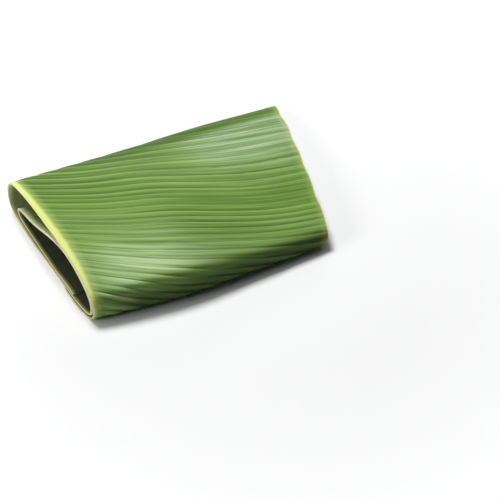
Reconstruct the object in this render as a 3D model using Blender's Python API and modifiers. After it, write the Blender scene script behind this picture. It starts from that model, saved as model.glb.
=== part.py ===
"""Banana leaf: one half of the blade, cut along the midrib and rolled flat.

The sheet is a single strip. Its cut edge lies at one end of the roll and its
natural margin at the other. Its outer end is torn along a side vein and tucked
under the roll, and its inner end is cut straight across.
Metres, Z up, resting on the table at z = 0.
"""
import bpy
import numpy as np

# Sheet
LAMINA = 0.0008          # thickness of the blade
RIM = 0.0015             # thickness of the edge cut from the midrib
RIM_WIDTH = 0.0065       # width of that edge
RIM_TAPER = 0.0035       # run from the edge thickness down to the blade's
PLEAT = 0.0010           # height of the pleats between the side veins
PLEAT_SHOULDER = 0.30    # from a vein's groove to the pleat's shoulder, as a share of the pleat
MARGIN_REACH = 0.304     # cut edge to margin where the blade is widest
MARGIN_WAVE = 0.0007     # waviness of the margin

# Side veins, named by their distance round the roll at the cut edge
VEINS = np.array([
    -0.0395, -0.0300, -0.0205, -0.0110, -0.0015, 0.0080, 0.0175, 0.0270, 0.0365, 0.0460,
    0.0555, 0.0650, 0.0738, 0.0822, 0.0920, 0.1020, 0.1106, 0.1195, 0.1272, 0.1348,
    0.1426, 0.1508, 0.1606, 0.1715, 0.1790, 0.1875, 0.1995, 0.2115, 0.2260, 0.2440,
    0.2580, 0.2725, 0.2855, 0.3010, 0.3130, 0.3250, 0.3370, 0.3490,
])

# Roll
FLAP = 0.040             # outer end of the strip, tucked under the front fold
INNER_END = 0.762        # inner end of the strip, measured round the roll
LAYER = 0.0026           # from one layer on the table to the next
STEP = 0.0030            # rise of the layer lying over the flap

# Rest: a small flat spot under the roll's weight, the blade bowing up around it
REST = (0.133, -0.101)   # its middle, from the cut edge and from the back of the left end
REST_RADIUS = 0.018      # flat this far round the middle
REST_REACH = 0.065       # and bowed up to its full height from here on
BOW = 0.0010             # that height

# Facets
ROWS = 17                # lines of facets from the cut edge to the margin
LOOSE = (0.345, 0.420)   # columns leave the veins here and keep to the folds further in
INSIDE = (               # start, end and number of the columns inside the roll
    (VEINS[-1], 0.430, 6),
    (0.430, 0.488, 14),
    (0.488, 0.608, 8),
    (0.608, 0.662, 14),
    (0.662, INNER_END, 6),
)


def through(x, *stops):
    """Smooth curve through stops (x, value): cubic pieces, slopes from the neighbours."""
    places = np.array([place for place, _ in stops])
    values = np.array([value for _, value in stops])
    slopes = np.gradient(values, places)
    x = np.asarray(x, float)
    k = np.clip(np.searchsorted(places, x) - 1, 0, len(places) - 2)
    width = places[k + 1] - places[k]
    t = (x - places[k]) / width
    ends = values[k] * (1 + 2 * t) * (1 - t) ** 2 + values[k + 1] * t * t * (3 - 2 * t)
    return ends + width * t * (1 - t) * (slopes[k] * (1 - t) - slopes[k + 1] * t)


def blend(x, start, end):
    """Smooth rise from 0 at start to 1 at end."""
    t = np.clip((x - start) / (end - start), 0.0, 1.0)
    return t * t * (3 - 2 * t)


def vein_drift(x):
    """How far round the roll a side vein has run by the time it is x from the cut edge."""
    stops = (-0.02, -0.0094), (0.0, 0.0), (0.05, 0.0222), (0.10, 0.0405), (0.20, 0.0715), (0.30, 0.0885)
    return through(x, *stops)


def blade_width(run):
    """Cut edge to margin at a distance round the roll: widest at the back fold."""
    wave = MARGIN_WAVE * np.sin(run * 140)
    return wave + through(
        run,
        (-0.10, MARGIN_REACH - 0.111), (-0.04, MARGIN_REACH - 0.091), (0.05, MARGIN_REACH - 0.061),
        (0.15, MARGIN_REACH - 0.027), (0.21, MARGIN_REACH - 0.008), (0.25, MARGIN_REACH),
        (0.29, MARGIN_REACH - 0.006), (0.35, MARGIN_REACH - 0.025), (0.45, MARGIN_REACH - 0.059),
        (0.55, MARGIN_REACH - 0.077), (0.65, MARGIN_REACH - 0.087), (0.80, MARGIN_REACH - 0.098),
    )


def cut_edge(columns):
    """x of the cut edge: the lower layers stand out a little further than the top one."""
    return through(
        columns,
        (-0.050, -0.0034), (-0.020, -0.0048), (0.0, -0.0034), (0.012, -0.0012), (0.035, 0.0), (0.10, 0.0),
        (0.235, 0.0), (0.260, -0.0008), (0.300, -0.0028), (0.360, -0.0026), (0.410, -0.0036),
        (0.450, -0.0008), (0.480, 0.0), (0.600, 0.0), (0.640, 0.0), (0.700, -0.0016), (0.770, -0.0030),
    )


def section(x):
    """Control points (y, z) of the outer face round the roll, from the flap inwards."""
    front, back, crown, shoulder, nose, turn, tuck = (
        float(through(x, *stops))
        for stops in (
            # foremost place of the front fold and hindmost of the back fold
            [
                (-0.02, -0.1700), (0.0, -0.1745), (0.03, -0.1800),
                (0.08, -0.1875), (0.15, -0.1895), (0.30, -0.1900),
            ],
            [(0.0, 0.0145), (0.12, 0.0165), (0.20, 0.0228), (0.30, 0.0240)],
            # heights of the top, of the back fold, of the front fold and of the inner back fold
            [
                (0.0, 0.0445), (0.05, 0.0485), (0.10, 0.0515), (0.15, 0.0410),
                (0.20, 0.0295), (0.25, 0.0225), (0.30, 0.0180),
            ],
            [(0.0, 0.0400), (0.10, 0.0330), (0.20, 0.0235), (0.30, 0.0140)],
            [(0.0, 0.0260), (0.10, 0.0255), (0.20, 0.0200), (0.30, 0.0120)],
            [(0.0, 0.0185), (0.15, 0.0150), (0.30, 0.0085)],
            # hindmost place of the inner back fold
            [(0.0, -0.0045), (0.05, -0.0240), (0.10, -0.0390), (0.20, -0.0240), (0.30, -0.0080)],
        )
    )
    free = front + 0.014 + FLAP + float(vein_drift(x))
    fall = crown - shoulder
    cheek = nose * 0.55 + crown * 0.45

    flap = [(y, 0) for y in (0.060, 0.030, -0.010, -0.060, -0.110, -0.145, front + 0.014)]
    front_fold = [
        (front + 0.0010, 0.0005),
        (front - 0.0015, nose * 0.45),
        (front + 0.0030, nose * 0.95),
        (front + 0.0200, cheek),
    ]
    top = [
        (front + 0.045, crown * 0.93),
        (front + 0.080, crown),
        (front + 0.115, crown - fall * 0.06),
        (front + 0.145, crown - fall * 0.30),
        (back - 0.030, crown - fall * 0.78),
    ]
    back_fold = [
        (back - 0.0100, shoulder * 0.96),
        (back + 0.0025, shoulder * 0.70),
        (back + 0.0020, shoulder * 0.20),
        (back - 0.0085, 0),
    ]
    ramp = [(free + back) / 2, free + 0.036, free + 0.022]
    over = [free + 0.004, (free + front) / 2 + 0.009]
    bottom = [(back - 0.036, 0)] + [(y, 0) for y in ramp] + [(y, STEP) for y in over]
    inner_front = [
        (front + 0.0135, STEP),
        (front + 0.0045, STEP + 0.0014),
        (front + 0.0020, nose * 0.50 + 0.0010),
        (front + 0.0062, nose * 0.88 + 0.0004),
        (front + 0.0222, cheek - 0.0026),
    ]
    inner_top = [
        (front + 0.0462, crown * 0.93 - 0.0030),
        (front + 0.0700, crown * 0.98 - 0.0036),
        (front + 0.1000, crown * 0.72 + turn * 0.25),
        (tuck - 0.0370, crown * 0.18 + turn * 0.80),
        (tuck - 0.0120, turn),
    ]
    inner_back = [(tuck, turn * 0.78), (tuck, turn * 0.32), (tuck - 0.0120, LAYER)]
    inner_bottom = [(min(y, tuck - 0.020) - 0.002, LAYER) for y in ramp]
    inner_bottom += [(y - 0.002, STEP + LAYER) for y in over]
    end = [
        (front + 0.022, STEP + LAYER),
        (front + 0.014, STEP + LAYER + 0.0010),
        (front + 0.010, STEP + LAYER + 0.0026),
    ]
    outer = flap + front_fold + top + back_fold + bottom
    return np.array(outer + inner_front + inner_top + inner_back + inner_bottom + end)


def outline(x, steps=16, contact=6):
    """Distance round the roll, points (y, z) and outward normals of the section at x.

    A cubic B-spline runs through the control points. Distance counts from the
    control point where the front fold leaves the table.
    """
    points = section(x)
    t = np.linspace(0, 1, steps, endpoint=False)[:, None]
    weights = np.hstack([(1 - t) ** 3, 3 * t**3 - 6 * t**2 + 4, 3 * t + 3 * t**2 - 3 * t**3 + 1, t**3]) / 6
    spans = np.stack([points[k : k + 4] for k in range(len(points) - 3)])
    curve = np.einsum("tk,nkd->ntd", weights, spans).reshape(-1, 2)
    ahead = np.gradient(curve, axis=0)
    ahead /= np.linalg.norm(ahead, axis=1, keepdims=True)
    run = np.concatenate([[0], np.cumsum(np.linalg.norm(np.diff(curve, axis=0), axis=1))])
    return run - run[(contact - 1) * steps], curve, np.stack([-ahead[:, 1], ahead[:, 0]], 1)


def sheet_points(columns, rows, stations=97):
    """Outer face of the sheet as an array (column, row, xyz).

    A column is a line along one side vein, named by its distance round the roll
    at the cut edge; inside the roll it is a line along the folds instead. A row
    is a share of the way from the cut edge to the margin.
    """
    follow = 1 - blend(columns, *LOOSE)
    reach = np.full_like(columns, 0.25)
    for _ in range(20):
        reach = blade_width(columns - vein_drift(reach) * follow)
    start = cut_edge(columns)
    x = start[:, None] + (reach - start)[:, None] * rows
    run = columns[:, None] - vein_drift(x) * follow[:, None]

    places = np.linspace(-0.01, 0.31, stations)
    grid = np.linspace(-0.24, 0.90, 2851)
    table = np.empty((stations, len(grid), 4))
    for k, place in enumerate(places):
        distance, curve, normal = outline(place)
        table[k] = np.stack([np.interp(grid, distance, values) for values in (*curve.T, *normal.T)], 1)
    i = np.clip((x - places[0]) / (places[1] - places[0]), 0, stations - 1.001)
    j = np.clip((run - grid[0]) / (grid[1] - grid[0]), 0, len(grid) - 1.001)
    a, b = (i % 1)[..., None], (j % 1)[..., None]
    i, j = i.astype(int), j.astype(int)
    near = table[i, j] * (1 - b) + table[i, j + 1] * b
    far = table[i + 1, j] * (1 - b) + table[i + 1, j + 1] * b
    y, z, ny, nz = np.moveaxis(near * (1 - a) + far * a, -1, 0)

    size = np.hypot(ny, nz)
    ny, nz = ny / size, nz / size
    free_of_table = blend(nz, -0.97, -0.70)
    off = 2 * (np.interp(columns, VEINS, np.arange(len(VEINS))) % 1) - 1
    pleat = PLEAT * (0.5 - np.abs(off) ** 1.7)
    rise = free_of_table * (follow * pleat)[:, None]
    rise = rise * blend(rows * MARGIN_REACH, RIM_WIDTH, RIM_WIDTH + 0.012)
    bow = BOW * blend(np.hypot(x - REST[0], y - REST[1]), REST_RADIUS, REST_REACH)
    return np.stack([x, y + rise * ny, z + rise * nz + bow], -1)


def leaf_material():
    material = bpy.data.materials.new("banana_leaf_green")
    material.use_nodes = True
    shader = material.node_tree.nodes["Principled BSDF"]
    shader.inputs["Base Color"].default_value = (0.17, 0.32, 0.07, 1.0)
    shader.inputs["Roughness"].default_value = 0.42
    material.diffuse_color = (0.17, 0.32, 0.07, 1.0)
    return material


def build():
    for item in list(bpy.data.objects):
        bpy.data.objects.remove(item, do_unlink=True)
    group = bpy.data.collections.new("banana_leaf")
    bpy.context.scene.collection.children.link(group)

    outer = VEINS[:-1, None] + np.diff(VEINS)[:, None] * [0, PLEAT_SHOULDER, 1 - PLEAT_SHOULDER]
    inner = [np.linspace(start, end, count, endpoint=False) for start, end, count in INSIDE]
    columns = np.concatenate([outer.ravel(), *inner, [INNER_END]])
    rim_rows = np.array([0.0, RIM_WIDTH, RIM_WIDTH + RIM_TAPER]) / MARGIN_REACH
    rest = np.linspace(0, 1, ROWS - 2)[1:] ** 1.3
    rows = np.concatenate([rim_rows, rim_rows[-1] + (1 - rim_rows[-1]) * rest])
    points = sheet_points(columns, rows)

    bpy.ops.mesh.primitive_grid_add(x_subdivisions=len(rows) - 1, y_subdivisions=len(columns) - 1)
    leaf = bpy.context.object
    leaf.name = leaf.data.name = "banana_leaf"
    leaf.data.vertices.foreach_set("co", points.ravel())
    thick = leaf.vertex_groups.new(name="thickness")
    for k, row in enumerate(rows):
        share = 1 - (1 - LAMINA / RIM) * blend(row * MARGIN_REACH, RIM_WIDTH, RIM_WIDTH + RIM_TAPER)
        thick.add(range(k, len(columns) * len(rows), len(rows)), float(share), "REPLACE")
    facets = leaf.modifiers.new("facets alike on both faces", "TRIANGULATE")
    facets.quad_method = "SHORTEST_DIAGONAL"
    body = leaf.modifiers.new("blade thickness", "SOLIDIFY")
    body.thickness = RIM
    body.offset = -1
    body.vertex_group = "thickness"
    leaf.data.materials.append(leaf_material())
    leaf.users_collection[0].objects.unlink(leaf)
    group.objects.link(leaf)

    bpy.context.view_layer.update()
    shape = leaf.evaluated_get(bpy.context.evaluated_depsgraph_get()).data
    seen = np.empty(len(shape.vertices) * 3)
    shape.vertices.foreach_get("co", seen)
    seen = seen.reshape(-1, 3)
    middle = (seen.min(0) + seen.max(0)) / 2
    points = points - [middle[0], middle[1], 0.0]
    leaf.data.vertices.foreach_set("co", points.ravel())
    leaf.data.update()


build()
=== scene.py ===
"""Looks of a banana leaf: half of the blade, cut along the midrib and rolled flat."""

import bpy
import numpy as np
from mathutils import Matrix, Vector


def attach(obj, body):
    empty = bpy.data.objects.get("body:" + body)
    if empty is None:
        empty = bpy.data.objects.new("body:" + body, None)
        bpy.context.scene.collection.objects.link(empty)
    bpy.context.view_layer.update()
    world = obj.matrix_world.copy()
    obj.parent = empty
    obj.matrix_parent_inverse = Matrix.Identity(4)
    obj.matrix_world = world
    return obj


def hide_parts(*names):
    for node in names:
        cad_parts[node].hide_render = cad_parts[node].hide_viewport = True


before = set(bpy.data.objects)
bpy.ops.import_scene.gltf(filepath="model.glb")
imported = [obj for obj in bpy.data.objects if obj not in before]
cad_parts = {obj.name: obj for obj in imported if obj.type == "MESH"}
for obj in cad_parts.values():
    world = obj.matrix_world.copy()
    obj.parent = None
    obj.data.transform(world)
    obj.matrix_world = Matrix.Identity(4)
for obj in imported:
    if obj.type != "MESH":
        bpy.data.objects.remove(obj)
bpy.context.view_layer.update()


# The studio: a white table under a high key light behind the leaf, so that its
# front fold and the table before it lie in shade. A white card overhead only
# shows as grey sheen on the wax. A long lens looks down from the front left.
CAMERA_PLACE = (-0.5281, -1.0236, 0.9198)
CAMERA_TURN = -30.0      # degrees from looking along +Y
CAMERA_DOWN = 40.0       # degrees below level
LENS_MM = 110.0
SENSOR_MM = 36.0
SIGHT = 30.0             # how far the camera sees
TABLE = 9.0              # half of the table's side
TABLE_WHITE = (0.98, 0.98, 0.985, 1.0)
TABLE_ROUGHNESS = 0.9
TABLE_SPECULAR = 0.1
TABLE_GLOW = 0.9         # strength of the table's glow, which washes out its far parts
GLOW_START = 0.20        # distance from the leaf's middle where the glow starts
GLOW_FULL = 1.00         # and where it is full
AIR_WHITE = (0.93, 0.97, 1.0, 1.0)
AIR_LIGHT = 0.03

camera_data = bpy.data.cameras.new("camera")
camera_data.lens = LENS_MM
camera_data.sensor_width = SENSOR_MM
camera_data.clip_end = SIGHT
camera = bpy.data.objects.new("camera", camera_data)
camera.location = CAMERA_PLACE
camera.rotation_euler = (np.radians(90.0 - CAMERA_DOWN), 0.0, np.radians(CAMERA_TURN))
bpy.context.scene.collection.objects.link(camera)
bpy.context.scene.camera = camera
bpy.context.scene.view_settings.view_transform = "Standard"


class Signal:
    """A shader socket that Python's operators work on, with one method that adds any other node."""

    def __init__(self, tree, socket=None):
        self.tree = tree
        self.socket = socket

    def node(self, kind, values=None, out=0, **settings):
        """A node's output: the settings are set first, then the values or links of its sockets."""
        made = self.tree.nodes.new(kind)
        for name, value in settings.items():
            setattr(made, name, value)
        for name, value in (values or {}).items():
            if isinstance(value, Signal):
                self.tree.links.new(value.socket, made.inputs[name])
            else:
                made.inputs[name].default_value = value
        return Signal(self.tree, made.outputs[out])

    def feed(self, shader, name):
        """Links this signal to a shader's socket."""
        self.tree.links.new(self.socket, shader.inputs[name])

    def math(self, operation, first, second=0.0):
        return self.node("ShaderNodeMath", {0: first, 1: second}, operation=operation)

    def rise(self, low, high):
        """0 below low, 1 above high, smooth between."""
        ends = {"Value": self, "From Min": low, "From Max": high}
        return self.node("ShaderNodeMapRange", ends, interpolation_type="SMOOTHSTEP")

    def mix(self, first, second):
        """The first colour where this signal is 0, the second where it is 1.

        A Mix node's colours are its inputs 6 and 7 and its output 2.
        """
        first, second = ((*c, 1.0) if isinstance(c, tuple) else c for c in (first, second))
        return self.node("ShaderNodeMix", {0: self, 6: first, 7: second}, out=2, data_type="RGBA")

    def __add__(self, other):
        return self.math("ADD", self, other)

    def __sub__(self, other):
        return self.math("SUBTRACT", self, other)

    def __rsub__(self, other):
        return self.math("SUBTRACT", other, self)

    def __mul__(self, other):
        return self.math("MULTIPLY", self, other)

    __radd__ = __add__
    __rmul__ = __mul__


floor_mesh = bpy.data.meshes.new("floor")
corners = [(-TABLE, -TABLE, 0), (TABLE, -TABLE, 0), (TABLE, TABLE, 0), (-TABLE, TABLE, 0)]
floor_mesh.from_pydata(corners, [], [(0, 1, 2, 3)])
floor = bpy.data.objects.new("floor", floor_mesh)
bpy.context.scene.collection.objects.link(floor)
table_top = bpy.data.materials.new("white table")
table_top.use_nodes = True
table_shader = table_top.node_tree.nodes["Principled BSDF"]
table_shader.inputs["Base Color"].default_value = TABLE_WHITE
table_shader.inputs["Roughness"].default_value = TABLE_ROUGHNESS
table_shader.inputs["Specular IOR Level"].default_value = TABLE_SPECULAR
table_shader.inputs["Emission Strength"].default_value = TABLE_GLOW
table_start = Signal(table_top.node_tree)
table_place = table_start.node("ShaderNodeTexCoord", out="Object")
from_middle = table_start.node("ShaderNodeVectorMath", {0: table_place}, out="Value", operation="LENGTH")
from_middle.rise(GLOW_START, GLOW_FULL).feed(table_shader, "Emission Color")
floor_mesh.materials.append(table_top)

air = bpy.data.worlds.new("studio air")
air.use_nodes = True
air.node_tree.nodes["Background"].inputs["Color"].default_value = AIR_WHITE
air.node_tree.nodes["Background"].inputs["Strength"].default_value = AIR_LIGHT
bpy.context.scene.world = air


def softbox(name, turn, height, distance, width, depth, power, mirrored=True, lights=True):
    """Area light aimed at the leaf from a turn east of +Y and a height over the table, in degrees."""
    data = bpy.data.lights.new(name, "AREA")
    data.shape = "RECTANGLE"
    data.size = width
    data.size_y = depth
    data.energy = power
    turn, height = np.radians(turn), np.radians(height)
    place = distance * Vector((np.sin(turn) * np.cos(height), np.cos(turn) * np.cos(height), np.sin(height)))
    lamp = bpy.data.objects.new(name, data)
    lamp.matrix_world = Matrix.Translation(place) @ (-place).to_track_quat("-Z", "Y").to_matrix().to_4x4()
    lamp.visible_glossy = mirrored
    lamp.visible_diffuse = lights
    lamp.visible_camera = False
    bpy.context.scene.collection.objects.link(lamp)


# Name, turn, height, distance, width, depth, power in watts
softbox("key behind", 0.0, 60.0, 3.0, 1.1, 0.9, 82.0, mirrored=False)
softbox("softbox overhead", 10.0, 72.0, 2.6, 2.0, 1.3, 6.0, mirrored=False)
softbox("white card overhead", 0.0, 86.0, 2.6, 2.6, 2.75, 100.0, lights=False)
softbox("softbox low behind", 33.0, 18.0, 2.8, 1.9, 0.8, 15.0)
softbox("softbox left", -82.0, 26.0, 2.6, 1.1, 0.9, 20.0, mirrored=False)


# The leaf: one half of the blade, cut along the midrib and rolled flat about one
# and three quarter turns. It is pleated between parallel side veins; the cut
# edge at the left end is thick and pale yellow, the margin thin.
LAMINA = 0.0006          # thickness of the blade
RIM = 0.0020             # thickness of the edge cut from the midrib, on top of the roll
RIM_WIDTH = 0.0056       # width of that edge on top of the roll
RIM_SHOULDER = 0.002     # the edge starts to thin this far before the end of its width
RIM_TAPER = 0.0030       # run from the edge's thickness down to the blade's
CUT_ROUND = 0.0007       # how far the cut face bulges
MARGIN_LAMINA = 0.0003   # thickness at the margin
MARGIN_TAPER = 0.012     # run from the blade's thickness down to the margin's
MARGIN_ROUND = 0.0003    # how far the margin's round reaches past the faces
MARGIN_END = 0.0004      # where the faces end before the margin
MARGIN_REACH = 0.304     # cut edge to margin where the blade is widest
MARGIN_WAVE = 0.0005     # waviness of the margin
MARGIN_WAVES = 140       # radians of that wave in a metre
PLEAT = 0.0008           # height of a pleat between two side veins
PLEAT_SUNK = 0.51        # share of that height below the smooth blade
FLAP = 0.040             # outer end of the strip, under the front fold
INNER_END = 0.762        # inner end of the strip, measured round the roll
LAYER = 0.0022           # from one layer on the table to the next
STEP = 0.0026            # rise of the layer lying over the flap
TOP_GAP = 0.0024         # from the top layer down to the one under it
MIDDLE = (0.1495, -0.0824)   # of the roll, from the cut edge and from the back of the left end

# Side veins, named by their distance round the roll at the cut edge.
VEINS = np.array([
    -0.0490, -0.0395, -0.0300, -0.0205, -0.0110, -0.0015, 0.0080, 0.0175, 0.0270, 0.0365, 0.0460, 0.0555,
    0.0650, 0.0738, 0.0822, 0.0920, 0.1020, 0.1106, 0.1195, 0.1272, 0.1348, 0.1426, 0.1508, 0.1606,
    0.1715, 0.1790, 0.1875, 0.1995, 0.2115, 0.2260, 0.2440, 0.2580, 0.2725, 0.2855, 0.3010, 0.3130,
    0.3250, 0.3370, 0.3490,
])
INNER_VEINS = 0.361      # from here on they are hidden and lie evenly
INNER_VEIN_STEP = 0.0118
VEINS = np.concatenate([VEINS, np.arange(INNER_VEINS, 0.90, INNER_VEIN_STEP)])

# The mesh: columns run from the cut edge to the margin and rows round the roll.
# On the outer turn the columns follow the side veins, at these shares of each
# pleat's width, and over the stretch called LOOSE they leave the veins.
PLEAT_SHARES = np.array([0.0, 0.05, 0.11, 0.19, 0.30, 0.43, 0.57, 0.70, 0.81, 0.89, 0.95])
OUTER_VEINS = VEINS[(VEINS > -FLAP) & (VEINS < INNER_VEINS)]
LOOSE = (0.345, 0.420)
INNER_COLUMN_STEP = 0.0018
RIM_ROWS = np.array([
    0.0009, 0.0018, 0.0028, 0.0038, 0.0048, 0.0058, 0.0068, 0.0080, 0.0095, 0.0115, 0.0140, 0.0175,
])                           # distances from the cut edge
BLADE_ROWS = 47              # from there to the margin
ROUND_ROWS = 7               # round the cut face, and round the margin
FACE_ROWS = len(RIM_ROWS) + BLADE_ROWS
STATIONS = np.linspace(-0.01, 0.31, 193)     # x of the outlines that are worked out
ROUNDS = np.linspace(-0.24, 0.90, 4561)      # distances round the roll read from each


def through(x, *stops):
    """Smooth curve through stops (x, value): cubic pieces, slopes from the neighbours."""
    places = np.array([place for place, _ in stops])
    values = np.array([value for _, value in stops])
    slopes = np.gradient(values, places)
    x = np.asarray(x, float)
    k = np.clip(np.searchsorted(places, x) - 1, 0, len(places) - 2)
    width = places[k + 1] - places[k]
    t = (x - places[k]) / width
    ends = values[k] * (1 + 2 * t) * (1 - t) ** 2 + values[k + 1] * t * t * (3 - 2 * t)
    return ends + width * t * (1 - t) * (slopes[k] * (1 - t) - slopes[k + 1] * t)


def blend(x, start, end):
    """Smooth rise from 0 at start to 1 at end."""
    t = np.clip((x - start) / (end - start), 0.0, 1.0)
    return t * t * (3 - 2 * t)


def vein_drift(x):
    """How far round the roll a side vein has run by the time it is x from the cut edge."""
    return through(
        x, (-0.02, -0.0094), (0.0, 0.0), (0.05, 0.0222), (0.10, 0.0405), (0.20, 0.0715), (0.30, 0.0885)
    )


def section(x):
    """Control points (y, z) of the outer face round the roll, from the flap inwards.

    The foremost and hindmost places and the heights of the folds change along
    the roll; every other point is placed between them.
    """
    # y of the front fold, of the back fold and of the inner back fold
    front = float(through(
        x,
        (-0.02, -0.1700), (0.0, -0.1745), (0.03, -0.1800), (0.08, -0.1875), (0.15, -0.1895),
        (0.30, -0.1900),
    ))
    back = float(through(x, (0.0, 0.0145), (0.12, 0.0165), (0.20, 0.0228), (0.30, 0.0240)))
    tuck = float(through(
        x, (0.0, -0.0045), (0.05, -0.0240), (0.10, -0.0390), (0.20, -0.0240), (0.30, -0.0080)
    ))
    # Heights of the top, the back fold, the front fold, the slope over it and the inner back fold
    crown = float(through(
        x,
        (0.0, 0.0445), (0.05, 0.0485), (0.10, 0.0515), (0.15, 0.0410), (0.20, 0.0295), (0.25, 0.0225),
        (0.30, 0.0180),
    ))
    shoulder = float(through(x, (0.0, 0.0400), (0.10, 0.0330), (0.20, 0.0235), (0.30, 0.0140)))
    nose = float(through(
        x, (0.0, 0.0260), (0.03, 0.0296), (0.06, 0.0308), (0.10, 0.0298), (0.20, 0.0212), (0.30, 0.0120)
    ))
    cheek = float(through(
        x, (0.0, 0.0343), (0.03, 0.0362), (0.06, 0.0372), (0.10, 0.0376), (0.20, 0.0248), (0.30, 0.0147)
    ))
    turn = float(through(x, (0.0, 0.0185), (0.15, 0.0150), (0.30, 0.0085)))
    contact = front + 0.014                          # where the front fold leaves the table
    free = contact + FLAP + float(vein_drift(x))     # the flap's free end
    fall = crown - shoulder

    flap = [(y, 0) for y in (0.060, 0.030, -0.010, -0.060, -0.110, -0.145, contact)]
    front_fold = [
        (front + 0.0010, 0.0005),
        (front - 0.0015, nose * 0.45),
        (front + 0.0010, nose * 0.85),
        (front + 0.0066, nose * 1.035),
        (front + 0.0200, cheek),
    ]
    top = [
        (front + 0.045, crown * 0.93),
        (front + 0.080, crown),
        (front + 0.115, crown - fall * 0.06),
        (front + 0.145, crown - fall * 0.30),
        (back - 0.030, crown - fall * 0.78),
    ]
    back_fold = [
        (back - 0.0100, shoulder * 0.96),
        (back + 0.0025, shoulder * 0.70),
        (back + 0.0020, shoulder * 0.20),
        (back - 0.0085, 0),
    ]
    ramp = [(free + back) / 2, free + 0.036, free + 0.022]
    over = [free + 0.004, (free + front) / 2 + 0.009]
    bottom = [(back - 0.036, 0)] + [(y, 0) for y in ramp] + [(y, STEP) for y in over]
    inner_front = [
        (front + 0.0135, STEP),
        (front + 0.0040, STEP + 0.0010),
        (front + 0.0014, nose * 0.50 + 0.0008),
        (front + 0.0056, nose * 0.88 + 0.0002),
        (front + 0.0218, cheek - TOP_GAP + 0.0002),
    ]
    inner_top = [
        (front + 0.0460, crown * 0.93 - TOP_GAP - 0.0002),
        (front + 0.0700, crown * 0.955 - TOP_GAP - 0.0006),
        (front + 0.1000, crown * 0.60 + turn * 0.30),
        (tuck - 0.0370, crown * 0.16 + turn * 0.76),
        (tuck - 0.0120, turn),
    ]
    inner_back = [(tuck, turn * 0.78), (tuck, turn * 0.32), (tuck - 0.0120, LAYER)]
    inner_bottom = [(min(y, tuck - 0.020) - 0.002, LAYER) for y in ramp]
    inner_bottom += [(y - 0.002, STEP + LAYER) for y in over]
    end = [
        (front + 0.022, STEP + LAYER),
        (front + 0.014, STEP + LAYER + 0.0010),
        (front + 0.010, STEP + LAYER + 0.0026),
    ]
    outer = flap + front_fold + top + back_fold + bottom
    return np.array(outer + inner_front + inner_top + inner_back + inner_bottom + end)


def outline(x, steps=24, contact=6):
    """Distance round the roll, points (y, z) and outward normals of the section at x.

    A cubic B-spline runs through the control points. Distance counts from the
    contact, the control point where the front fold leaves the table.
    """
    points = section(x)
    t = np.linspace(0, 1, steps, endpoint=False)[:, None]
    weights = np.hstack([(1 - t) ** 3, 3 * t**3 - 6 * t**2 + 4, 3 * t + 3 * t**2 - 3 * t**3 + 1, t**3]) / 6
    spans = np.stack([points[k : k + 4] for k in range(len(points) - 3)])
    curve = np.einsum("tk,nkd->ntd", weights, spans).reshape(-1, 2)
    ahead = np.gradient(curve, axis=0)
    ahead /= np.linalg.norm(ahead, axis=1, keepdims=True)
    run = np.concatenate([[0], np.cumsum(np.linalg.norm(np.diff(curve, axis=0), axis=1))])
    return run - run[(contact - 1) * steps], curve, np.stack([-ahead[:, 1], ahead[:, 0]], 1)


def rolled(x, run):
    """Points and outward normals on the roll for arrays of x and distance round it.

    Outlines are worked out at the stations, and read straight between them.
    """
    table = np.empty((len(STATIONS), len(ROUNDS), 4))
    for k, station in enumerate(STATIONS):
        distance, curve, normal = outline(station)
        table[k] = np.stack([np.interp(ROUNDS, distance, values) for values in (*curve.T, *normal.T)], 1)
    i = np.clip((x - STATIONS[0]) / (STATIONS[1] - STATIONS[0]), 0, len(STATIONS) - 1.001)
    j = np.clip((run - ROUNDS[0]) / (ROUNDS[1] - ROUNDS[0]), 0, len(ROUNDS) - 1.001)
    a, b = (i % 1)[..., None], (j % 1)[..., None]
    i, j = i.astype(int), j.astype(int)
    near = table[i, j] * (1 - b) + table[i, j + 1] * b
    far = table[i + 1, j] * (1 - b) + table[i + 1, j + 1] * b
    y, z, ny, nz = np.moveaxis(near * (1 - a) + far * a, -1, 0)
    size = np.hypot(ny, nz)
    return np.stack([x, y, z], -1), np.stack([np.zeros_like(x), ny / size, nz / size], -1)


def blade_width(run):
    """Cut edge to margin at a distance round the roll: widest at the back fold, with a slight wave."""
    wave = MARGIN_WAVE * np.sin(run * MARGIN_WAVES)
    return wave + through(
        run,
        (-0.10, MARGIN_REACH - 0.111), (-0.04, MARGIN_REACH - 0.091), (0.05, MARGIN_REACH - 0.061),
        (0.15, MARGIN_REACH - 0.027), (0.21, MARGIN_REACH - 0.008), (0.25, MARGIN_REACH),
        (0.29, MARGIN_REACH - 0.009), (0.35, MARGIN_REACH - 0.031), (0.45, MARGIN_REACH - 0.069),
        (0.55, MARGIN_REACH - 0.081), (0.65, MARGIN_REACH - 0.088), (0.80, MARGIN_REACH - 0.098),
    )


def cut_edge(run):
    """x of the cut edge round the roll: the lower layers stand out a little further than the top one."""
    return through(
        run,
        (-0.050, -0.0034), (-0.020, -0.0048), (0.0, -0.0034), (0.012, -0.0012), (0.035, 0.0), (0.10, 0.0),
        (0.235, 0.0), (0.260, -0.0008), (0.300, -0.0028), (0.360, -0.0026), (0.410, -0.0036),
        (0.450, -0.0008), (0.480, 0.0), (0.600, 0.0), (0.640, 0.0), (0.700, -0.0016), (0.770, -0.0030),
    )


def edge_thickness(run):
    """Thickness of the cut edge round the roll.

    It is thin where layers lie close and thick where the inner turn is free.
    """
    return RIM * through(
        run,
        (-0.05, 0.75), (0.02, 0.80), (0.07, 1.0), (0.20, 1.0), (0.26, 0.85), (0.30, 0.75), (0.44, 0.80),
        (0.50, 1.10), (0.54, 1.40), (0.60, 1.40), (0.65, 0.85), (0.80, 0.75),
    )


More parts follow.
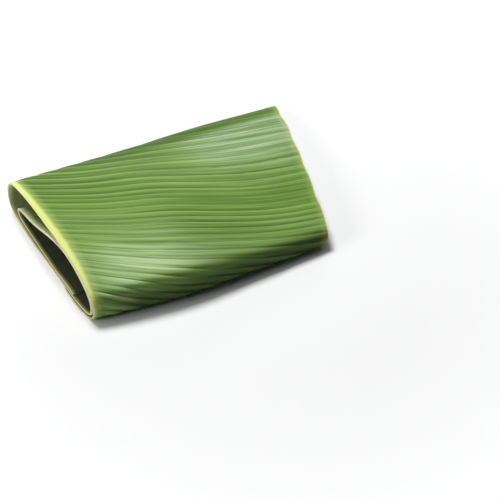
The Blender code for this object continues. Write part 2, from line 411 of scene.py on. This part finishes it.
def edge_width(run):
    """Width of the cut edge's thick band round the roll: narrower round the front fold than on top."""
    return RIM_WIDTH * through(
        run, (-0.05, 0.36), (0.015, 0.40), (0.045, 0.62), (0.08, 1.0), (0.20, 0.95), (0.80, 0.9)
    )


def pleats(vein):
    """The pleats' height, the share of a pleat's width and the pleat's number.

    The height is a parabola, 0 in the grooves and 1 half way between.
    """
    place = np.interp(vein, VEINS, np.arange(len(VEINS)))
    number = np.floor(place)
    off = 2 * (place - number) - 1
    return 1 - off**2, place - number, number


def strip_profile(width):
    """The strip's closed cross-cut from the margin over the outer face to the cut edge and back.

    Gives for each column the distances in from the cut edge and the depths
    below the outer face as shares of the thickness. Both edges are rounds:
    there distance follows the cosine of an angle and depth its sine.
    """
    width = width[:, None]
    rim = np.broadcast_to(RIM_ROWS, (len(width), len(RIM_ROWS)))
    shares = np.linspace(0, 1, BLADE_ROWS + 1)[1:]
    face = np.concatenate([rim, RIM_ROWS[-1] + (width - RIM_ROWS[-1] - MARGIN_END) * shares], 1)
    angle = np.radians(np.linspace(90, -90, ROUND_ROWS + 2)[1:-1])
    cut = np.broadcast_to(CUT_ROUND * (1 - np.cos(angle)), (len(width), ROUND_ROWS))
    tip = width - MARGIN_END + MARGIN_ROUND * np.cos(angle)
    under = np.broadcast_to((1 - np.sin(angle)) / 2, cut.shape)
    distance = np.concatenate([face[:, ::-1], cut, face, tip[:, ::-1]], 1)
    depth = np.concatenate([np.zeros_like(face), under, np.ones_like(face), under[:, ::-1]], 1)
    return distance, depth


outer_columns = (OUTER_VEINS[:-1, None] + np.diff(OUTER_VEINS)[:, None] * PLEAT_SHARES).ravel()
inner_columns = np.arange(OUTER_VEINS[-1], INNER_END, INNER_COLUMN_STEP)
columns = np.concatenate([[-FLAP], outer_columns, inner_columns, [INNER_END]])
follow = 1 - blend(columns, *LOOSE)
start = cut_edge(columns)

# A column's width and the place where it meets the margin depend on each other,
# so both are found by going round from a first guess until they settle.
reach = np.full_like(columns, 0.25)
for _ in range(20):
    reach = blade_width(columns - vein_drift(reach) * follow)
distance, depth = strip_profile(reach - start)
width = (reach - start)[:, None]
x = start[:, None] + distance
run = columns[:, None] - vein_drift(x) * follow[:, None]
vein = run + vein_drift(x)
points, normals = rolled(x, run)
pleat, across, number = pleats(vein)

# The blade thins from the cut edge's band to its own thickness, and again at the margin.
band = edge_width(columns)[:, None]
thick = edge_thickness(columns)[:, None]
thick = thick + (LAMINA - thick) * blend(distance, band - RIM_SHOULDER, band - RIM_SHOULDER + RIM_TAPER)
thick = thick + (MARGIN_LAMINA - LAMINA) * blend(distance, width - MARGIN_TAPER, width)

# The pleats are higher round the front fold, and lower at the back, on the front
# slope, on the right half, in a smooth band, on the lower layers and at the
# margin. They start past the cut edge's band, and faces on the table stay flat.
tone = 0.5 + 0.5 * np.sin(number * 2.4 + 1.0) * np.sin(number * 0.93 + 0.4)
back_left = blend(vein, 0.120, 0.165) * (1 - blend(x, 0.11, 0.18))
back_right = blend(vein, 0.20, 0.24) * blend(x, 0.12, 0.18)
front_slope = (1 - blend(vein, 0.09, 0.13)) * blend(run, 0.020, 0.050)
front_turn = (1 - blend(run, 0.030, 0.048)) * blend(x, 0.004, 0.020)
smooth_band = blend(vein, 0.145, 0.165) * (1 - blend(vein, 0.178, 0.196)) * blend(x, 0.08, 0.14)
lower_layers = blend(run, 0.30, 0.36)
past_band = blend(distance, band - 0.001, band + 0.005)
at_margin = blend(distance, width - 0.020, width - 0.002)
off_table = blend(normals[..., 2], -0.97, -0.70)
strength = (1 - 0.10 * back_left) * (0.75 + 0.5 * tone)
strength = strength * (1 - 0.5 * lower_layers) * past_band
strength = strength * (1 - 0.45 * back_right)
strength = strength * (1 - 0.58 * front_slope)
strength = strength * (1 - 0.48 * blend(x, 0.10, 0.16))
strength = strength * (1 + 0.95 * front_turn)
strength = strength * (1 - 0.70 * smooth_band) * (1 - 0.7 * at_margin)
lift = off_table * strength * PLEAT * (pleat - PLEAT_SUNK)
points = points + normals * (lift - depth * thick)[..., None]
points = points - [*MIDDLE, 0.0]

# Wax is thin all over, thick on the right of the back and on the front slope,
# and worn off over the top back edge and round the front fold.
over_edge = blend(run, 0.213, 0.227)
back_sheen = blend(vein, 0.205, 0.255) * blend(x, 0.145, 0.21) * (1 - blend(run, 0.214, 0.227))
front_sheen = (1 - blend(vein, 0.064, 0.146)) * blend(run, 0.028, 0.050) * blend(x, 0.0, 0.05)
wax = 0.13 - 0.09 * blend(vein, 0.19, 0.24) * (1 - blend(x, 0.13, 0.18)) + 0.78 * back_sheen
wax = wax + 0.82 * front_sheen
wax = wax * (0.3 + 0.7 * blend(run, 0.018, 0.036))
wax = (wax - 0.10 * smooth_band) * (1 - 0.95 * over_edge * blend(x, 0.015, 0.070))

# Where other colours, painted light and shade, and the glow painted for light through the blade go, as
# shares from 0 to 1.
# Painted shade: darker green on the back slope, the back fold and past the top back edge.
back = np.maximum(blend(run, 0.15, 0.21) * (1 - blend(x, 0.12, 0.18)), over_edge)
# behind: painted shade under the top back edge, added to the deeper green.
behind = blend(vein, 0.275, 0.300) * (1 - blend(run, 0.24, 0.30))
# Where a highlight is painted along the pleats on the front fold's crease.
crease = blend(run, 0.012, 0.022) * (1 - blend(run, 0.036, 0.046))
crease = crease * blend(x, 0.006, 0.012) * (1 - blend(x, 0.026, 0.046))
# Painted shade on the blade past the top back edge.
painted_back_edge_shade = blend(run, 0.220, 0.230) * blend(x, 0.020, 0.090) * (1 - 0.5 * blend(x, 0.270, 0.290))
# Painted shade on the front fold away from the cut edge, lighter at its foot.
fold_shade_far = (1 - blend(run, 0.026, 0.041)) * blend(x, 0.004, 0.045)
fold_shade_far = fold_shade_far * blend(run, -0.030, -0.010) * (0.45 + 0.55 * blend(run, 0.007, 0.015))
inner_turn = blend(columns, 0.225, 0.265)[:, None]
lit_fold = (blend(columns, 0.165, 0.205) * (1 - blend(columns, 0.290, 0.350)))[:, None]
attributes = {
    "across": across,                # share of a pleat's width
    "tone": tone,                    # each pleat's own shade
    "wax": wax,
    "back": back,                    # painted shade on the back slope and back fold
    "near": (1 - blend(vein, 0.06, 0.20)) * blend(run, 0.030, 0.055),   # painted light on the front slope
    "fold": 1 - blend(run, 0.020, 0.050),                               # painted shade in the front fold
    "from_edge": distance,
    "from_cut": distance - band,     # from the inner line of the cut edge's band
    "from_margin": width - distance,
    "inside": depth,                 # 0 on the outer face, 1 on the inner one
    "deep": smooth_band + behind,    # deeper green in the smooth band, and painted shade behind the top back edge
    "inner_turn": np.broadcast_to(inner_turn, x.shape),   # from the bottom layer inwards
    "crease": crease,                # painted highlight at the left end of the front fold's upper crease
    "painted_back_edge_shade": painted_back_edge_shade,        # painted shade past the top back edge
    "lit_fold": np.broadcast_to(lit_fold, x.shape),   # back fold, where the glow for light coming through is painted
    "fold_shade_far": fold_shade_far,            # painted shade on the front fold away from the cut edge
}

# Walls of the strip, closed at both ends.
count, ring = x.shape
index = np.arange(count * ring).reshape(count, ring)
ahead = np.roll(index, -1, axis=1)
walls = np.stack([index[:-1], index[1:], ahead[1:], ahead[:-1]], -1).reshape(-1, 4).tolist()


def end_cap(line, flip):
    """Faces that close the strip's cross-cut: a ladder between its two sides and a fan in each round."""
    inner_start = FACE_ROWS + ROUND_ROWS
    outer, inner = line[:FACE_ROWS], line[inner_start : inner_start + FACE_ROWS][::-1]
    cap = np.stack([outer[:-1], outer[1:], inner[1:], inner[:-1]], -1).tolist()
    cap.append(line[FACE_ROWS - 1 : inner_start + 1].tolist())
    cap.append(line[inner_start + FACE_ROWS - 1 :].tolist() + [int(line[0])])
    return [face[::-1] for face in cap] if flip else cap


leaf_mesh = bpy.data.meshes.new("banana_leaf_blade")
faces = walls + end_cap(index[0], False) + end_cap(index[-1], True)
leaf_mesh.from_pydata(points.reshape(-1, 3).tolist(), [], faces)
leaf_mesh.polygons.foreach_set("use_smooth", np.ones(len(leaf_mesh.polygons), bool))
for name, values in attributes.items():
    layer = leaf_mesh.attributes.new(name, "FLOAT", "POINT")
    layer.data.foreach_set("value", np.ascontiguousarray(values, np.float32).ravel())
loop_vertices = np.empty(len(leaf_mesh.loops), np.int32)
leaf_mesh.loops.foreach_get("vertex_index", loop_vertices)
blade_map = leaf_mesh.uv_layers.new(name="blade")
vein_and_x = np.stack([vein.ravel(), x.ravel()], 1)
blade_map.data.foreach_set("uv", vein_and_x[loop_vertices].astype(np.float32).ravel())
leaf = bpy.data.objects.new("banana_leaf_blade", leaf_mesh)
bpy.context.scene.collection.objects.link(leaf)


def screen(red, green, blue):
    """A colour given as it looks on a screen, 0 to 255, as linear light."""
    value = np.array([red, green, blue]) / 255
    light = np.where(value <= 0.04045, value / 12.92, ((value + 0.055) / 1.055) ** 2.4)
    return tuple(float(v) for v in light)


BLADE_GREEN = screen(103, 145, 48)
BACK_SHADE_GREEN = screen(72, 105, 30)
FRONT_LIT_GREEN = screen(127, 164, 60)
PALE_STREAK_AND_LIT_GREEN = screen(137, 173, 78)
GROOVE_SHADE_AND_STREAK_GREEN = screen(76, 111, 36)
DEEP_GREEN = screen(78, 126, 30)
FOLD_SHADE_GREEN = screen(32, 50, 16)
BACK_EDGE_SHADE_GREEN = screen(52, 78, 14)
CREASE_HIGHLIGHT_GREEN = screen(186, 204, 150)
RIM_YELLOW = screen(222, 232, 134)
LIT_RIM_CREAM = screen(246, 244, 200)
MARGIN_GREEN = screen(158, 178, 88)
MARGIN_CREAM = screen(216, 222, 162)
CUT_TAN = screen(222, 214, 168)
CUT_GREEN = screen(170, 194, 108)
LINING_GREEN = screen(108, 120, 76)
LINING_RIM = screen(206, 212, 168)
INSIDE_SHADE_OLIVE = screen(46, 48, 24)
INSIDE_SHADE_RIM = screen(160, 152, 104)
BLACK = (0.0, 0.0, 0.0)
FOLD_LIGHT = (0.110, 0.132, 0.054)   # linear light of the painted glow for light through the back fold
TOP_LIGHT = (0.015, 0.018, 0.011)    # and through the top
SPECULAR = 0.14
COAT_ROUGHNESS = 0.36
COAT_IOR = 1.8
BUMP = 0.0010            # height of the finest streaks, which the mesh doesn't show
BUMP_STRENGTH = 0.6

blade = bpy.data.materials.new("waxy leaf blade")
blade.use_nodes = True
shader = blade.node_tree.nodes["Principled BSDF"]
blade_start = Signal(blade.node_tree)
uv_place = blade_start.node("ShaderNodeUVMap", uv_map="blade")
(
    across_in, tone_in, wax_in, back_shade_in, front_light_in, fold_shade_in, edge_in, cut_in, margin_in, inside, deep_in,
    inner_turn_in, crease_highlight_in, back_edge_shade_in, lit_in, fold_shade_far_in,
) = (
    blade_start.node("ShaderNodeAttribute", out="Fac", attribute_name=name) for name in attributes
)


def streaks(across, along):
    """Noise drawn out along the veins: cells per metre across and along them."""
    sides = {0: uv_place, 1: (across, along, 1.0)}
    stretched = blade_start.node("ShaderNodeVectorMath", sides, operation="MULTIPLY")
    cells = {"Vector": stretched, "Scale": 1.0, "Detail": 2.0}
    return blade_start.node("ShaderNodeTexNoise", cells, noise_dimensions="2D")


fine = streaks(900.0, 16.0)
thread = streaks(360.0, 9.0)
broad = streaks(110.0, 7.0)
patches = streaks(14.0, 9.0)

# Greens of the outer face: a paler, yellower green painted as light on the front slope, painted shade behind
# and in the front fold.
green = front_light_in.mix(BLADE_GREEN, FRONT_LIT_GREEN)
green = back_shade_in.mix(green, BACK_SHADE_GREEN)
# Deeper green in the smooth band and painted shade behind the top back edge.
green = (deep_in * 0.45).mix(green, DEEP_GREEN)
green = (fold_shade_in * 0.4).mix(green, GROOVE_SHADE_AND_STREAK_GREEN)

# A pleat has painted light on its back side and painted shade on its front side and in its groove, less so
# under wax.
painted_pleat_light = across_in.rise(0.30, 1.0) * (0.80 - wax_in * 0.50 - deep_in * 0.50)
green = painted_pleat_light.mix(green, PALE_STREAK_AND_LIT_GREEN)
painted_groove_shade = (1 - across_in.rise(0.0, 0.35)) * (0.95 - wax_in * 0.55 - deep_in * 0.65)
# The painted groove shade, random dark patches and each pleat's own tone darken together.
dark_patches = (1 - patches.rise(0.3, 0.7)) * 0.12
green = (painted_groove_shade + dark_patches + (1 - tone_in) * 0.18).mix(green, GROOVE_SHADE_AND_STREAK_GREEN)

# Pale and dark streaks along the veins.
dark_thread = thread.rise(0.50, 0.70) * 0.36
pale_thread = (1 - thread.rise(0.30, 0.50)) * 0.34
green = (broad.rise(0.45, 0.75) * 0.22).mix(green, PALE_STREAK_AND_LIT_GREEN)
green = dark_thread.mix(green, GROOVE_SHADE_AND_STREAK_GREEN)
green = pale_thread.mix(green, PALE_STREAK_AND_LIT_GREEN)
green = (fine.rise(0.45, 0.8) * 0.35).mix(green, GROOVE_SHADE_AND_STREAK_GREEN)

# Painted shade on the front fold, a painted highlight on its crease, and painted shade on the blade past the
# back edge.
painted_fold_shade = fold_shade_far_in * (0.58 + (1 - across_in.rise(0.10, 0.75)) * 0.40)
green = painted_fold_shade.mix(green, FOLD_SHADE_GREEN)
painted_crease_highlight = crease_highlight_in * across_in.rise(0.45, 0.80) * (0.35 + (1 - thread.rise(0.35, 0.60)) * 0.5)
green = painted_crease_highlight.mix(green, CREASE_HIGHLIGHT_GREEN)
green = (back_edge_shade_in * 0.5).mix(green, BACK_EDGE_SHADE_GREEN)

# Paler margin and cut edge. The streaks make the inner line of the cut edge's band ragged.
ragged = cut_in + (broad - 0.5) * 0.0016 + (thread - 0.5) * 0.0008
green = ((1 - margin_in.rise(0.0, 0.0100)) * 0.5).mix(green, MARGIN_GREEN)
green = ((1 - margin_in.rise(0.0003, 0.0018)) * 0.6).mix(green, MARGIN_CREAM)
green = ((1 - ragged.rise(-0.0010, 0.0090)) * 0.60).mix(green, CUT_GREEN)
# The inner turn's rim is creamier, and painted brighter to make up for the shade it lies in.
rim = inner_turn_in.mix(RIM_YELLOW, LIT_RIM_CREAM)
outside = (1 - ragged.rise(-0.0022, 0.0020)).mix(green, rim)

# The inner face, greyer on the outer turn; on the inner one dark olive painted shade with a darker rim; and
# the cut face.
lining = (1 - cut_in.rise(-0.0050, 0.0040)).mix(LINING_GREEN, LINING_RIM)
shaded_inner_lining = (1 - cut_in.rise(-0.0050, -0.0010)).mix(INSIDE_SHADE_OLIVE, INSIDE_SHADE_RIM)
lining = inner_turn_in.mix(lining, shaded_inner_lining)
colour = inside.rise(0.55, 0.95).mix(outside, lining)
cut_face = (1 - edge_in.rise(0.0003, 0.0008)) * inside.rise(0.05, 0.4)
cut_face.mix(colour, CUT_TAN).feed(shader, "Base Color")

# Satin blade under a broken coat of wax.
(0.50 + fine * 0.10 + inside * 0.25).feed(shader, "Roughness")
grain = 0.36 + (1 - thread.rise(0.4, 0.6)) * 0.85 + fine.rise(0.3, 0.7) * 0.45
(wax_in * (0.65 + 0.4 * across_in) * grain * (1 - inside)).feed(shader, "Coat Weight")
height = fine * 0.3 + thread * 0.7
bump_sockets = {"Height": height, "Strength": BUMP_STRENGTH, "Distance": BUMP}
blade_start.node("ShaderNodeBump", bump_sockets).feed(shader, "Normal")

# A painted glow on the inner face stands for light through the thin blade, brightest at the back fold and
# near the cut.
near_cut = 0.55 - edge_in.rise(0.006, 0.080) * 0.35 + (1 - edge_in.rise(0.002, 0.008)) * 0.45
glow = (lit_in * near_cut).mix(TOP_LIGHT, FOLD_LIGHT)
inner_face = inside.rise(0.55, 0.95) * (0.25 + broad * 0.8 + patches * 0.4)
inner_face.mix(BLACK, glow).feed(shader, "Emission Color")

shader.inputs["Specular IOR Level"].default_value = SPECULAR
shader.inputs["Coat Roughness"].default_value = COAT_ROUGHNESS
shader.inputs["Coat IOR"].default_value = COAT_IOR
shader.inputs["Emission Strength"].default_value = 1.0
leaf_mesh.materials.append(blade)

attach(leaf, "root")
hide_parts("banana_leaf")
